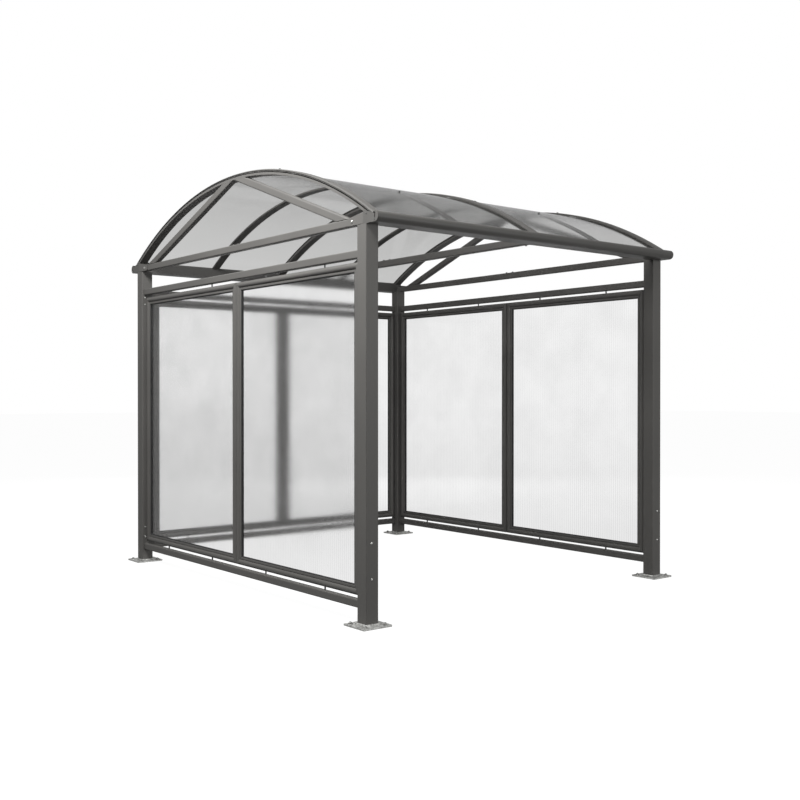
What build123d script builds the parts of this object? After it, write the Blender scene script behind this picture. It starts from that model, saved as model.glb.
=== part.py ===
"""Barrel-roofed bike shelter: a four-post steel frame, three glazed walls and a curved clear roof.

Millimetres, +Z up.  The origin is on the ground, in the middle of the plan.
X runs along the eaves from the left gable to the right gable.
Y runs from the open front (-Y) to the back wall (+Y).
"""
import os
from math import asin, atan2, cos, degrees, hypot, radians, sin, sqrt

from build123d import *

# ---------------------------------------------------------------- driving dimensions
# plan and posts
LENGTH = 2610.0            # along the eaves, outside the posts
WIDTH = 3000.0             # across the gables, outside the posts
POST_SIZE = 86.0           # square post tube
POST_WALL = 3.0
POST_CORNER = 5.0          # outer corner radius of the post tube
POST_TOP = 2250.0          # underside of the beams above the ground

# base plates
PLATE_SIZE = 200.0
PLATE_THICK = 10.0
PLATE_BEVEL = 6.0          # cut off the four corners
ANCHOR_SPACING = 140.0     # between anchor holes, both ways
ANCHOR_HOLE = 14.0         # diameter
COLLAR_WIDTH = 8.0         # weld collar round the foot of the post
COLLAR_RISE = 8.0

# wall rails, tie beams and braces
BAR_WIDTH = 40.0           # rectangular tube of the rails, tie beams and braces
BAR_HEIGHT = 48.0
BAR_WALL = 2.5
BAR_CORNER = 8.0           # outer corner radius
FACE_PLATE = 6.0           # thickness of the joint plates and end caps
JOINT_PLATE_LENGTH = 145.0
JOINT_PLATE_INSET = 2.0    # from the underside of the tie beam
JOINT_PLATE_RISE = 18.0    # the upper edge climbs this much towards the eave
BRACE_FOOT_INSET = 241.0   # middle line of a brace at the tie beam, in from the outside of the posts
BRACE_LIFT = 27.0          # the middle lines meet this far above the underside of the arch
BRACE_HEAD_GAP = 6.0

# curved roof
ARCH_RADIUS = 2836.0       # underside of the arches
FOOT_RISE = 69.0           # lower end of the underside of an arch above the posts
ARCH_WIDTH = 60.0          # flat rectangular tube of the arches
ARCH_DEPTH = 15.0
ARCH_WALL = 2.0
RIB_WIDTH = 60.0           # flat bar halfway between two arches
RIB_DEPTH = 12.0
SHEET_THICK = 6.0
SHEET_GAP = 8.0            # between the two sheets, under the middle cover
SHEET_OVERHANG = 12.0      # lower edge of a sheet beyond the outside of the posts
COVER_OVERHANG = 45.0      # lower end of a cover strip beyond the outside of the posts
COVER_WIDTH = 60.0
COVER_NECK = 5.0           # the foot of a cover strip is set back this much each side
COVER_NECK_RISE = 6.0
COVER_LIP = 2.0            # height of the bevel over the neck
COVER_RISE = 15.0          # whole height over the sheet
COVER_SHOULDER = 7.0       # width of each sloping shoulder

# eave beams, each with a rain channel behind its rounded nose
EAVE_SEAT = 30.0           # inner face, in from the outside of the posts
EAVE_OVERHANG = 108.0      # outermost point of the nose beyond the outside of the posts
NOSE_RADIUS = 31.0
NOSE_LIP = 26.0            # width of the nose beside the channel
CHANNEL_FLOOR = 21.0       # above the underside
LEDGE = 27.0               # width of the seat under the edge of the sheet
EAVE_WALL = 3.0
CAP_SLOT = 8.0             # drain slot in an end cap
CAP_SHOULDER = 25.0        # the top of an end cap beside the slot, above the channel floor

# walls
RAIL_INSET = 14.0          # wall rails, in from the outer face of the posts
UPPER_RAIL_TOP = 2115.0
LOWER_RAIL_BOTTOM = 94.0
PANEL_GAP = 18.0           # clear air between a glazed panel and the rails and posts
PANEL_JOINT = 6.0          # between the two panels of a wall
GLAZING_INSET = 45.0       # middle of the pane, in from the outer face of the posts
FRAME_WIDTH = 55.0         # glazing frame, face width
FRAME_EDGE = 8.0           # half thickness of the frame at its outer edge
FRAME_BULGE = 22.0         # half thickness at the top of the half-round
BULGE_WIDTH = 38.0
BEAD_HALF = 12.0           # half thickness of the bead beside the pane
BEAD_BEVEL = 3.0
GROOVE_DEPTH = 12.0
PANE_THICK = 6.0
FIT = 0.3                  # clearance of what slides together
SPACER_WIDTH = 10.0        # hexagonal spacers, across the flats
SPACER_OFFSET = 3.0        # out from the middle of the pane
SPACER_SHARES = (0.127, 0.366)  # places along a wall, as shares of its clear length
SIDE_SPACER_HEIGHTS = (480.0, 1730.0)

# ---------------------------------------------------------------- derived sizes
HALF_X = LENGTH / 2
HALF_Y = WIDTH / 2
EAVE_INNER = HALF_Y - EAVE_SEAT
EAVE_NOSE = HALF_Y + EAVE_OVERHANG
ARCH_OUTER = ARCH_RADIUS + ARCH_DEPTH
ROOF_RADIUS = ARCH_OUTER + SHEET_THICK
ARC_CENTRE_Z = POST_TOP + FOOT_RISE - sqrt(ARCH_RADIUS**2 - EAVE_INNER**2)
FOOT_ANGLE = degrees(asin(EAVE_INNER / ARCH_RADIUS))
SHEET_ANGLE = degrees(asin((HALF_Y + SHEET_OVERHANG) / ARCH_OUTER))
COVER_ANGLE = degrees(asin((HALF_Y + COVER_OVERHANG) / ROOF_RADIUS))
GABLE_TUBE_X = HALF_X - FACE_PLATE - BAR_WIDTH / 2
GABLE_ARCH_X = HALF_X - FACE_PLATE - ARCH_WIDTH / 2
UPPER_RAIL_Z = UPPER_RAIL_TOP - BAR_HEIGHT / 2
LOWER_RAIL_Z = LOWER_RAIL_BOTTOM + BAR_HEIGHT / 2
LOWER_RAIL_TOP = LOWER_RAIL_BOTTOM + BAR_HEIGHT
PANEL_BOTTOM = LOWER_RAIL_TOP + PANEL_GAP
PANEL_TOP = UPPER_RAIL_TOP - BAR_HEIGHT - PANEL_GAP
TIE_TOP = POST_TOP + BAR_HEIGHT

os.makedirs("parts", exist_ok=True)
made = []


def keep(builder, name):
    """Label a finished piece and write it to its own STEP file."""
    builder.part.label = name
    export_step(builder.part, f"parts/{name}.step")
    made.append(name)


def tube(length, width, height, wall, corner):
    """A hollow tube along +Z, standing on its origin: rounded outside, bevelled inside."""
    inner_bevel = (2 - sqrt(2)) * (corner - wall)
    with BuildSketch(mode=Mode.PRIVATE) as bore:
        Rectangle(width - 2 * wall, height - 2 * wall)
        chamfer(bore.vertices(), length=inner_bevel)
    with BuildPart(mode=Mode.PRIVATE) as section:
        with BuildSketch():
            RectangleRounded(width, height, corner)
            add(bore.sketch, mode=Mode.SUBTRACT)
        extrude(amount=length)
    return section.part


def lying_plane(start, end):
    """The plane at start whose normal points at end, with the tube sides kept upright."""
    direction = (Vector(*end) - Vector(*start)).normalized()
    side = Vector(0, 0, 1).cross(direction).normalized()
    return Plane(origin=start, x_dir=(side.X, side.Y, side.Z), z_dir=(direction.X, direction.Y, direction.Z))


def arc_height(radius, y):
    """Height of a roof arc of the given radius at the distance y from the middle."""
    return ARC_CENTRE_Z + sqrt(radius**2 - y**2)


def arc_plane(angle):
    """The radial plane at the front foot of an arc; its y axis is the radius."""
    tilt = radians(angle)
    return Plane(
        origin=(0, 0, ARC_CENTRE_Z),
        x_dir=(1, 0, 0),
        z_dir=(0, -cos(tilt), -sin(tilt)),
    )


ARC_AXIS = Axis((0, 0, ARC_CENTRE_Z), (-1, 0, 0))

# ---------------------------------------------------------------- posts and base plates
corners = {
    "front_left": (-1, -1),
    "front_right": (1, -1),
    "back_left": (-1, 1),
    "back_right": (1, 1),
}
for corner_name, (side_x, side_y) in corners.items():
    post_x = side_x * (HALF_X - POST_SIZE / 2)
    post_y = side_y * (HALF_Y - POST_SIZE / 2)

    with BuildPart() as post:
        with Locations((post_x, post_y, PLATE_THICK)):
            add(tube(POST_TOP - PLATE_THICK, POST_SIZE, POST_SIZE, POST_WALL, POST_CORNER))
    keep(post, f"{corner_name}_post")

    with BuildPart() as base_plate:
        with BuildSketch():
            with Locations((post_x, post_y)):
                plate_outline = Rectangle(PLATE_SIZE, PLATE_SIZE)
            chamfer(plate_outline.vertices(), length=PLATE_BEVEL)
            with Locations((post_x, post_y)):
                with GridLocations(ANCHOR_SPACING, ANCHOR_SPACING, 2, 2):
                    Circle(ANCHOR_HOLE / 2, mode=Mode.SUBTRACT)
        extrude(amount=PLATE_THICK)
        # the post stands inside the collar, on the plate
        with BuildSketch(Plane.XY.offset(PLATE_THICK)):
            with Locations((post_x, post_y)):
                Rectangle(POST_SIZE + 2 * COLLAR_WIDTH, POST_SIZE + 2 * COLLAR_WIDTH)
                Rectangle(POST_SIZE + 2 * FIT, POST_SIZE + 2 * FIT, mode=Mode.SUBTRACT)
        extrude(amount=COLLAR_RISE)
        collar_rim = base_plate.faces().sort_by(Axis.Z)[-1].outer_wire().edges()
        chamfer(collar_rim, length=COLLAR_WIDTH / 2)
    keep(base_plate, f"{corner_name}_base_plate")


# ---------------------------------------------------------------- eave beams and their end caps
# in these sections u is the distance from the middle of the plan and v the height
NOSE_CENTRE = EAVE_NOSE - NOSE_RADIUS
LIP_U = EAVE_NOSE - NOSE_LIP
LIP_V = POST_TOP + NOSE_RADIUS + sqrt(NOSE_RADIUS**2 - (LIP_U - NOSE_CENTRE) ** 2)
FLOOR_V = POST_TOP + CHANNEL_FLOOR
FOOT = (EAVE_INNER, POST_TOP + FOOT_RISE)
HEEL_U = EAVE_INNER * ARCH_OUTER / ARCH_RADIUS
HEEL = (HEEL_U, arc_height(ARCH_OUTER, HEEL_U))
LEDGE_U = EAVE_INNER + LEDGE
LEDGE_END = (LEDGE_U, arc_height(ARCH_OUTER, LEDGE_U))


def nose_lines():
    """Draw the underside, the rounded nose and the outer wall of the rain channel."""
    Line((EAVE_INNER, POST_TOP), (NOSE_CENTRE, POST_TOP))
    ThreePointArc((NOSE_CENTRE, POST_TOP), (EAVE_NOSE, POST_TOP + NOSE_RADIUS), (LIP_U, LIP_V))
    Line((LIP_U, LIP_V), (LIP_U, FLOOR_V))


def eave_outline():
    """Section of an eave beam: the arches stand on its inner edge, the sheets on the ledge."""
    ledge_middle = (HEEL_U + LEDGE_U) / 2
    with BuildSketch(mode=Mode.PRIVATE) as outline:
        with BuildLine():
            nose_lines()
            Line((LIP_U, FLOOR_V), (LEDGE_U, FLOOR_V))
            Line((LEDGE_U, FLOOR_V), LEDGE_END)
            ThreePointArc(LEDGE_END, (ledge_middle, arc_height(ARCH_OUTER, ledge_middle)), HEEL)
            Line(HEEL, FOOT)
            Line(FOOT, (EAVE_INNER, POST_TOP))
        make_face()
    return outline.sketch


def cap_outline():
    """Outline of an end cap: it closes the channel but for a narrow drain slot."""
    slot_u = LIP_U - CAP_SLOT
    with BuildSketch(mode=Mode.PRIVATE) as outline:
        with BuildLine():
            nose_lines()
            Polyline(
                (LIP_U, FLOOR_V),
                (slot_u, FLOOR_V),
                (slot_u, FLOOR_V + CAP_SHOULDER),
                LEDGE_END,
                HEEL,
                FOOT,
                (EAVE_INNER, POST_TOP),
            )
        make_face()
    return outline.sketch


beam_face = eave_outline()
cap_face = cap_outline()
eave_length = LENGTH - 2 * FACE_PLATE
for eave_name, facing in (("front", -1), ("back", 1)):

    def section_plane(x):
        """The upright plane across the eave at x, its x axis pointing out of the shelter."""
        return Plane(origin=(x, 0, 0), x_dir=(0, facing, 0), z_dir=(facing, 0, 0))

    start = -facing * eave_length / 2
    with BuildPart() as eave_beam:
        with BuildSketch(section_plane(start)):
            add(beam_face)
            offset(amount=-EAVE_WALL, kind=Kind.INTERSECTION, mode=Mode.SUBTRACT)
        extrude(amount=eave_length)
    keep(eave_beam, f"{eave_name}_eave_beam")

    with BuildPart() as end_caps:
        for end in (-1, 1):
            cap_start = end * HALF_X if end == -facing else end * (HALF_X - FACE_PLATE)
            with BuildSketch(section_plane(cap_start)):
                add(cap_face)
            extrude(amount=FACE_PLATE)
    keep(end_caps, f"{eave_name}_eave_end_caps")

# ---------------------------------------------------------------- tie beams, arches and ribs
for frame_name, side in (("left", -1), ("middle", 0), ("right", 1)):
    tie_z = POST_TOP + BAR_HEIGHT / 2
    tie_start = (side * GABLE_TUBE_X, -EAVE_INNER, tie_z)
    tie_end = (side * GABLE_TUBE_X, EAVE_INNER, tie_z)
    with BuildPart() as tie_beam:
        with Locations(lying_plane(tie_start, tie_end)):
            add(tube(2 * EAVE_INNER, BAR_WIDTH, BAR_HEIGHT, BAR_WALL, BAR_CORNER))
    keep(tie_beam, f"{frame_name}_tie_beam")


# all are bent under the roof sheets, from eave beam to eave beam
for arch_name, side in (("left", -1), ("middle", 0), ("right", 1)):
    with BuildPart() as arch:
        with BuildSketch(arc_plane(FOOT_ANGLE)):
            with Locations((side * GABLE_ARCH_X, ARCH_OUTER - ARCH_DEPTH / 2)):
                Rectangle(ARCH_WIDTH, ARCH_DEPTH)
                Rectangle(ARCH_WIDTH - 2 * ARCH_WALL, ARCH_DEPTH - 2 * ARCH_WALL, mode=Mode.SUBTRACT)
        revolve(axis=ARC_AXIS, revolution_arc=2 * FOOT_ANGLE)
    keep(arch, f"{arch_name}_arch")

for rib_name, side in (("left", -1), ("right", 1)):
    with BuildPart() as rib:
        with BuildSketch(arc_plane(FOOT_ANGLE)):
            with Locations((side * GABLE_ARCH_X / 2, ARCH_OUTER - RIB_DEPTH / 2)):
                Rectangle(RIB_WIDTH, RIB_DEPTH)
        revolve(axis=ARC_AXIS, revolution_arc=2 * FOOT_ANGLE)
    keep(rib, f"{rib_name}_roof_rib")

# ---------------------------------------------------------------- gable braces and joint plates
BRACE_MEET_Z = ARC_CENTRE_Z + ARCH_RADIUS + BRACE_LIFT
BRACE_FOOT_Y = HALF_Y - BRACE_FOOT_INSET


def gable_brace(x, side_y):
    """One sloping brace: level on the tie beam, its head shaped to the underside of the arch."""
    run = side_y * BRACE_FOOT_Y
    rise = BRACE_MEET_Z - TIE_TOP
    reach = 2 * BAR_HEIGHT / hypot(run, rise)
    foot = (x, run * (1 + reach), TIE_TOP - rise * reach)
    head = (x, -run * reach, BRACE_MEET_Z + rise * reach)
    with BuildPart(mode=Mode.PRIVATE) as brace:
        with Locations(lying_plane(foot, head)):
            add(tube(hypot(run, rise) * (1 + 2 * reach), BAR_WIDTH, BAR_HEIGHT, BAR_WALL, BAR_CORNER))
        with BuildSketch(Plane(origin=(x - BAR_WIDTH, 0, 0), x_dir=(0, 1, 0), z_dir=(1, 0, 0))):
            with Locations((0, ARC_CENTRE_Z)):
                Circle(ARCH_RADIUS)
            with Locations((side_y * (BRACE_HEAD_GAP / 2 + HALF_Y / 2), TIE_TOP + ARCH_RADIUS / 2)):
                Rectangle(HALF_Y, ARCH_RADIUS, mode=Mode.INTERSECT)
        extrude(amount=2 * BAR_WIDTH, mode=Mode.INTERSECT)
    return brace.part


for gable_name, side_x in (("left", -1), ("right", 1)):
    with BuildPart() as braces:
        for side_y in (-1, 1):
            add(gable_brace(side_x * GABLE_TUBE_X, side_y))
    keep(braces, f"{gable_name}_gable_braces")

    with BuildPart() as joint_plates:
        plate_start = side_x * HALF_X if side_x < 0 else HALF_X - FACE_PLATE
        with BuildSketch(Plane(origin=(plate_start, 0, 0), x_dir=(0, 1, 0), z_dir=(1, 0, 0))):
            with BuildLine():
                plate_bottom = POST_TOP + JOINT_PLATE_INSET
                plate_inner = EAVE_INNER - JOINT_PLATE_LENGTH
                Polyline(
                    (EAVE_INNER, plate_bottom),
                    (EAVE_INNER, TIE_TOP - JOINT_PLATE_INSET + JOINT_PLATE_RISE),
                    (plate_inner, TIE_TOP - JOINT_PLATE_INSET),
                    (plate_inner, plate_bottom + BAR_CORNER),
                    (plate_inner + BAR_CORNER, plate_bottom),
                    close=True,
                )
            make_face()
            mirror(about=Plane.YZ)
        extrude(amount=FACE_PLATE)
    keep(joint_plates, f"{gable_name}_joint_plates")

# ---------------------------------------------------------------- roof sheets and cover strips
sheet_width = HALF_X - FACE_PLATE - SHEET_GAP / 2
for sheet_name, side_x in (("left", -1), ("right", 1)):
    with BuildPart() as sheet:
        with BuildSketch(arc_plane(SHEET_ANGLE)):
            with Locations((side_x * (SHEET_GAP / 2 + sheet_width / 2), ROOF_RADIUS - SHEET_THICK / 2)):
                Rectangle(sheet_width, SHEET_THICK)
        revolve(axis=ARC_AXIS, revolution_arc=2 * SHEET_ANGLE)
    keep(sheet, f"{sheet_name}_roof_sheet")

for cover_name, side in (("left", -1), ("middle", 0), ("right", 1)):
    cover_x = side * GABLE_ARCH_X
    half = COVER_WIDTH / 2
    with BuildPart() as cover:
        with BuildSketch(arc_plane(COVER_ANGLE)):
            with BuildLine():
                Polyline(
                    (cover_x - half + COVER_NECK, ROOF_RADIUS),
                    (cover_x + half - COVER_NECK, ROOF_RADIUS),
                    (cover_x + half - COVER_NECK, ROOF_RADIUS + COVER_NECK_RISE),
                    (cover_x + half, ROOF_RADIUS + COVER_NECK_RISE + COVER_LIP),
                    (cover_x + half - COVER_SHOULDER, ROOF_RADIUS + COVER_RISE),
                    (cover_x - half + COVER_SHOULDER, ROOF_RADIUS + COVER_RISE),
                    (cover_x - half, ROOF_RADIUS + COVER_NECK_RISE + COVER_LIP),
                    (cover_x - half + COVER_NECK, ROOF_RADIUS + COVER_NECK_RISE),
                    close=True,
                )
            make_face()
        revolve(axis=ARC_AXIS, revolution_arc=2 * COVER_ANGLE)
    keep(cover, f"{cover_name}_cover_strip")


# ---------------------------------------------------------------- glazed walls
def frame_section():
    """Section of the glazing frame: x runs from the outer edge to the pane, y is the depth."""
    groove_floor = FRAME_WIDTH - GROOVE_DEPTH
    mouth = PANE_THICK / 2 + FIT
    with BuildSketch(mode=Mode.PRIVATE) as section:
        with BuildLine() as half_line:
            Line((0, 0), (0, FRAME_EDGE))
            ThreePointArc((0, FRAME_EDGE), (BULGE_WIDTH / 2, FRAME_BULGE), (BULGE_WIDTH, FRAME_EDGE))
            Polyline(
                (BULGE_WIDTH, FRAME_EDGE),
                (BULGE_WIDTH + BEAD_BEVEL, BEAD_HALF),
                (FRAME_WIDTH - BEAD_BEVEL, BEAD_HALF),
                (FRAME_WIDTH, BEAD_HALF - BEAD_BEVEL),
                (FRAME_WIDTH, mouth),
                (groove_floor, mouth),
                (groove_floor, 0),
            )
            mirror(about=Plane.XZ)
        make_face()
    return section.sketch


section_face = frame_section()
# each wall: name, axis along the wall, sign of the outward side, clear length between the posts
walls = (
    ("left_wall", "Y", -1, WIDTH - 2 * POST_SIZE, HALF_X),
    ("right_wall", "Y", 1, WIDTH - 2 * POST_SIZE, HALF_X),
    ("back_wall", "X", 1, LENGTH - 2 * POST_SIZE, HALF_Y),
)
for wall_name, run, outward, clear_length, outer in walls:

    def wall_point(along, inset, z):
        """A point of the wall: along its length, in from its outer face, and its height."""
        across = outward * (outer - inset)
        return (across, along, z) if run == "Y" else (along, across, z)

    with BuildPart() as rails:
        for rail_z in (UPPER_RAIL_Z, LOWER_RAIL_Z):
            first = wall_point(-clear_length / 2, RAIL_INSET + BAR_WIDTH / 2, rail_z)
            last = wall_point(clear_length / 2, RAIL_INSET + BAR_WIDTH / 2, rail_z)
            with Locations(lying_plane(first, last)):
                add(tube(clear_length, BAR_WIDTH, BAR_HEIGHT, BAR_WALL, BAR_CORNER))
    keep(rails, f"{wall_name}_rails")

    panel_length = (clear_length - 2 * PANEL_GAP - PANEL_JOINT) / 2
    panel_height = PANEL_TOP - PANEL_BOTTOM
    panel_mid_z = (PANEL_TOP + PANEL_BOTTOM) / 2
    for panel_index, panel_side in enumerate((-1, 1), start=1):
        along_mid = panel_side * (PANEL_JOINT + panel_length) / 2
        # local axes of the panel: x along the wall, y up, z out of the pane
        along_axis = (0, 1, 0) if run == "Y" else (1, 0, 0)
        face_axis = (1, 0, 0) if run == "Y" else (0, -1, 0)
        panel_plane = Plane(
            origin=wall_point(along_mid, GLAZING_INSET, panel_mid_z),
            x_dir=along_axis,
            z_dir=face_axis,
        )
        with BuildPart() as glazing_frame:
            with BuildLine(panel_plane) as outer_edge:
                half_l = panel_length / 2
                half_h = panel_height / 2
                Polyline(
                    (0, -half_h),
                    (half_l, -half_h),
                    (half_l, half_h),
                    (-half_l, half_h),
                    (-half_l, -half_h),
                    close=True,
                )
            section_origin = panel_plane.from_local_coords((0, -half_h, 0))
            section_frame = Plane(
                origin=section_origin,
                x_dir=(0, 0, 1),
                z_dir=along_axis,
            )
            with BuildSketch(section_frame):
                add(section_face)
            sweep(path=outer_edge.wires()[0], transition=Transition.RIGHT)
        keep(glazing_frame, f"{wall_name}_frame_{panel_index}")

        reach = FRAME_WIDTH - GROOVE_DEPTH + FIT
        with BuildPart() as pane:
            with BuildSketch(panel_plane.offset(-PANE_THICK / 2)):
                Rectangle(panel_length - 2 * reach, panel_height - 2 * reach)
            extrude(amount=PANE_THICK)
        keep(pane, f"{wall_name}_pane_{panel_index}")

    with BuildPart() as spacers:
        spacer_inset = GLAZING_INSET - SPACER_OFFSET
        for share in SPACER_SHARES:
            for along in (-share * clear_length, share * clear_length):
                for foot_z in (LOWER_RAIL_TOP, PANEL_TOP):
                    with BuildSketch(Plane(origin=wall_point(along, spacer_inset, foot_z))):
                        RegularPolygon(SPACER_WIDTH / 2, 6, major_radius=False)
                    extrude(amount=PANEL_GAP)
        for side in (-1, 1):
            for spacer_z in SIDE_SPACER_HEIGHTS:
                post_side = wall_point(side * clear_length / 2, spacer_inset, spacer_z)
                inward = (0, -side, 0) if run == "Y" else (-side, 0, 0)
                with BuildSketch(Plane(origin=post_side, x_dir=(0, 0, 1), z_dir=inward)):
                    RegularPolygon(SPACER_WIDTH / 2, 6, major_radius=False)
                extrude(amount=PANEL_GAP)
    keep(spacers, f"{wall_name}_spacers")

print(len(made), "pieces")
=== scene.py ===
"""Looks for a barrel-roofed bike shelter: coated steel frame, fluted walls, smoky roof and fixings.

Lengths are in metres and turns in radians, unless a comment says otherwise.
"""

import logging
import math
from dataclasses import dataclass, field
from enum import Enum
from typing import Callable, Iterable, Optional, Sequence

import bmesh
import bpy
from mathutils import Matrix, Vector


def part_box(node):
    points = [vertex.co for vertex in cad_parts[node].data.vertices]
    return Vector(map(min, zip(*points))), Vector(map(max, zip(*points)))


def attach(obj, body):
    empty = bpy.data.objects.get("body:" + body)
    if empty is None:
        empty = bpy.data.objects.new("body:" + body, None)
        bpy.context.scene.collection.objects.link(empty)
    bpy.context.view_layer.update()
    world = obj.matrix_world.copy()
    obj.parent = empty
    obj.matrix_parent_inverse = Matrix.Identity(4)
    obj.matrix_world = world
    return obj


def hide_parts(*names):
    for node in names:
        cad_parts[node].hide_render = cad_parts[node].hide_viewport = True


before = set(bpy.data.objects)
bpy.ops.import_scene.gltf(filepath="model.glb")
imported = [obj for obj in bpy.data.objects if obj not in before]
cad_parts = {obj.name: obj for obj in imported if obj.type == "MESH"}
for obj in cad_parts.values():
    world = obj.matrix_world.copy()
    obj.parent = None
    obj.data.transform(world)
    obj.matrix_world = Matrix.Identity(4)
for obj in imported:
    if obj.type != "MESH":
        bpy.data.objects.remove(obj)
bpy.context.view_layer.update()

BODY = "root"
LOG = logging.getLogger("bike_shelter")

Colour = tuple[float, float, float]
Point = Sequence[float]
Rings = Sequence[tuple[float, float]]
Socket = bpy.types.NodeSocket
Sockets = bpy.types.bpy_prop_collection

CORNERS = ("front_left", "front_right", "back_left", "back_right")
ROWS = ("left", "middle", "right")
SIDES = (("left", -1.0), ("right", 1.0))
ENDS = (("front", -1.0), ("back", 1.0))
VALUE, VECTOR = "NodeSocketFloat", "NodeSocketVector"
WHITE = (1.0, 1.0, 1.0)
WEB_PITCH = 0.020  # between the webs inside a wall sheet
SOFT_ANGLE = 35.0  # faces that meet at less than this are shaded as one, in degrees
BOLT_SINK = 0.0002  # how far a head's foot is let into a curved surface


class Slot(Enum):
    """Material slots of the record, named for the kinds of made piece."""

    FIXINGS = "dark_fixings"
    WALL_SHEET = "wall_polycarbonate"
    ROOF_SHEET = "roof_polycarbonate"


class Run(Enum):
    """The direction that a glazed wall runs in."""

    ALONG_X = 0
    ALONG_Y = 1


# ------------ shader node helpers


@dataclass
class NodeSheet:
    """A node tree that is being filled in, with short calls for its nodes.

    Args:
        tree: The node tree of a material, a world or a node group.
    """

    tree: bpy.types.NodeTree

    def node(self, kind: str, settings: Optional[dict] = None, **values: object) -> bpy.types.Node:
        """Adds a node.

        Args:
            kind: The node's type name, such as ShaderNodeMath.
            settings: Properties of the node, such as its operation.
            values: Inputs, as in feed.

        Returns:
            The new node.
        """
        made = self.tree.nodes.new(kind)
        for name, value in (settings or {}).items():
            setattr(made, name, value)
        self.feed(made, **values)
        return made

    def feed(self, node: bpy.types.Node, **values: object) -> None:
        """Fills a node's inputs, each by its name with underscores for spaces."""
        for name, value in values.items():
            self.put(node.inputs[name.replace("_", " ")], value)

    def put(self, socket: Socket, value: object) -> None:
        """Links a socket to an input, or sets the input's own value."""
        if isinstance(value, bpy.types.NodeSocket):
            self.tree.links.new(value, socket)
        elif socket.type == "RGBA" and len(value) == 3:
            socket.default_value = (*value, 1.0)
        else:
            socket.default_value = value

    def numbered(self, kind: str, operation: Optional[str], *values: object) -> bpy.types.Node:
        """Adds a node whose inputs go by their order, from the first on."""
        made = self.node(kind, {"operation": operation} if operation else None)
        for socket, value in zip(made.inputs, values):
            self.put(socket, value)
        return made

    def math(self, operation: str, *values: object) -> Socket:
        """Adds a math node and returns its result."""
        return self.numbered("ShaderNodeMath", operation, *values).outputs[0]

    def spread(self, value: object, low: float, high: float, to_low: float, to_high: float) -> Socket:
        """Maps a value from one range to another, clamped, and returns it."""
        made = self.node("ShaderNodeMapRange", {"clamp": True})
        self.feed(made, Value=value, From_Min=low, From_Max=high, To_Min=to_low, To_Max=to_high)
        return made.outputs["Result"]

    def blend(self, factor: object, first: object, second: object) -> Socket:
        """Mixes two colours and returns the colour."""
        made = self.node("ShaderNodeMix", {"data_type": "RGBA"}, Factor=factor)
        self.put(made.inputs[6], first)
        self.put(made.inputs[7], second)
        return made.outputs[2]

    def noise(self, place: Socket, scale: object, detail: float = 2.0) -> Socket:
        """Adds a noise texture and returns its value."""
        return self.node("ShaderNodeTexNoise", Vector=place, Scale=scale, Detail=detail).outputs["Fac"]

    def bump(self, strength: float, distance: float, height: Socket, normal: Optional[Socket] = None) -> Socket:
        """Adds a bump over a normal, or over the surface's own, and returns the new normal."""
        made = self.node("ShaderNodeBump", Strength=strength, Distance=distance, Height=height)
        if normal is not None:
            self.feed(made, Normal=normal)
        return made.outputs["Normal"]

    def axes(self, place: Socket) -> Sockets:
        """Splits coordinates into x, y and z."""
        return self.node("ShaderNodeSeparateXYZ", Vector=place).outputs

    def white_share(self, mirror_level: float) -> Socket:
        """Returns 1 for a ray that sees the white room, the mirror level for one that mirrors it, else 0."""
        rays = self.node("ShaderNodeLightPath").outputs
        seen = self.math("MAXIMUM", rays["Is Camera Ray"], rays["Is Transmission Ray"])
        return self.math("MAXIMUM", seen, self.math("MULTIPLY", rays["Is Glossy Ray"], mirror_level))


@dataclass(frozen=True)
class Effect:
    """A node group that several finishes share.

    Args:
        name: The group's name.
        inputs: Input names with their usual values; Place is a vector.
        outputs: Output names with their socket types.
        fill: Puts the nodes in, between the group's given sockets and its result.
    """

    name: str
    inputs: dict[str, float]
    outputs: dict[str, str]
    fill: Callable[[NodeSheet, Sockets, Sockets], None]


@dataclass
class EffectLibrary:
    """The shared node groups, each built when it is first used.

    Args:
        made: The groups so far, by name.
    """

    made: dict[str, bpy.types.NodeTree] = field(default_factory=dict)

    def get(self, effect: Effect) -> bpy.types.NodeTree:
        """Returns the node group of an effect."""
        if effect.name not in self.made:
            self.made[effect.name] = self.build(effect)
        return self.made[effect.name]

    def build(self, effect: Effect) -> bpy.types.NodeTree:
        """Builds an effect's node group and returns it."""
        tree = bpy.data.node_groups.new(effect.name, "ShaderNodeTree")
        for entry, usual in effect.inputs.items():
            kind = VECTOR if entry == "Place" else VALUE
            socket = tree.interface.new_socket(entry, in_out="INPUT", socket_type=kind)
            if kind == VALUE:
                socket.default_value = usual
        for entry, kind in effect.outputs.items():
            tree.interface.new_socket(entry, in_out="OUTPUT", socket_type=kind)
        sheet = NodeSheet(tree)
        effect.fill(sheet, sheet.node("NodeGroupInput").outputs, sheet.node("NodeGroupOutput").inputs)
        return tree


@dataclass
class MaterialSheet(NodeSheet):
    """The node tree of one material.

    Args:
        effects: The shared node groups.
        shader: The material's main shader.
        place: The place on the object.
    """

    effects: EffectLibrary
    shader: bpy.types.Node = field(init=False)
    place: Socket = field(init=False)

    def __post_init__(self) -> None:
        """Adds the main shader and the place on the object."""
        self.shader = self.node("ShaderNodeBsdfPrincipled")
        self.place = self.node("ShaderNodeTexCoord").outputs["Object"]

    def use(self, effect: Effect, **values: object) -> Sockets:
        """Puts a shared effect in, with inputs as in feed, and returns its results."""
        made = self.node("ShaderNodeGroup", {"node_tree": self.effects.get(effect)}, **values)
        if "Place" in effect.inputs:
            self.feed(made, Place=self.place)
        return made.outputs


# ------------ shared effects


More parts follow.
